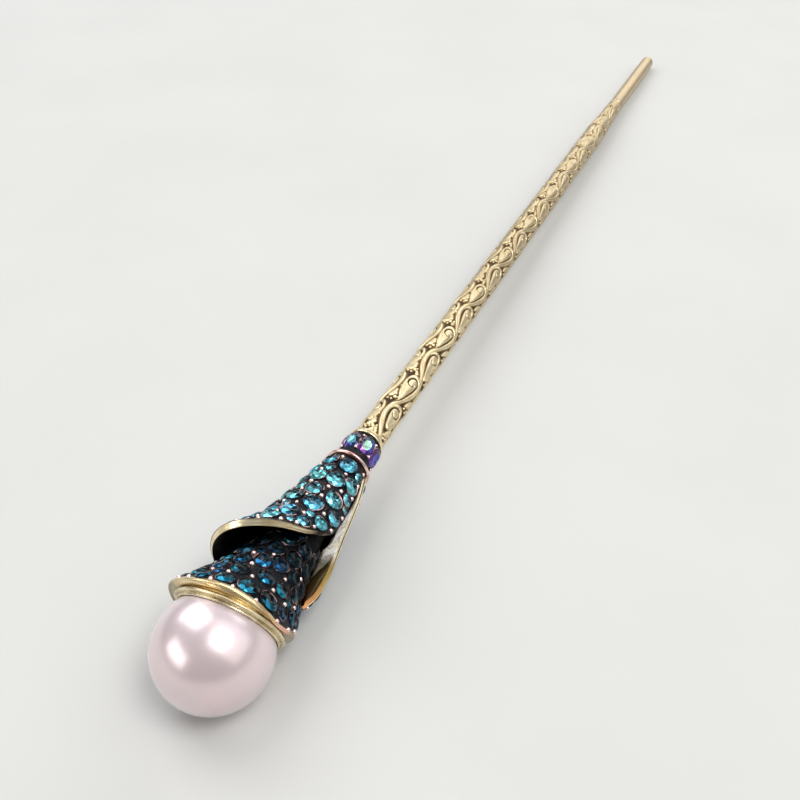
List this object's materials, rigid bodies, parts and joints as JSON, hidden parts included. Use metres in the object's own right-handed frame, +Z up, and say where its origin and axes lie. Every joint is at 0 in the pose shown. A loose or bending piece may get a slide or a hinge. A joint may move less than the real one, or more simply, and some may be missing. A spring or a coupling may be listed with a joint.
{
  "type": "hair stick",
  "caption": "Hair stick: a slim round-ended shank with raised scrollwork, and a lily head of rolled, stone-paved petals that hold an imitation pearl in a stepped cup.",
  "frame": {"origin": "middle of the box's footprint, on the surface that the stick lies on", "axes": "+Y along the lying stick from the pearl to the tip, +Z up, +X to the right of someone looking from the pearl to the tip"},
  "size_m": [0.0132, 0.196, 0.0128],
  "materials": {
    "antique_gold": "cast relief, polished high spots over brown patina, smooth towards the tip",
    "rose_gold": "polished rose plating",
    "pale_gold": "polished pale gold plating",
    "turquoise_paving": "dark plated metal paved with faceted turquoise stones",
    "teal_paving": "dark plated metal paved with faceted dark teal stones",
    "turquoise_stone": "faceted foil-backed glass",
    "teal_stone": "faceted foil-backed glass",
    "aurora_stone": "faceted glass with a violet and mint coating",
    "nacre": "soft pinkish imitation nacre"
  },
  "bodies": {
    "root": {"shaft": "antique_gold", "collar": "rose_gold", "outer_petal": "turquoise_paving", "inner_petal": "teal_paving", "pearl_cup": "pale_gold", "pearl": "nacre"}
  },
  "joints": []
}
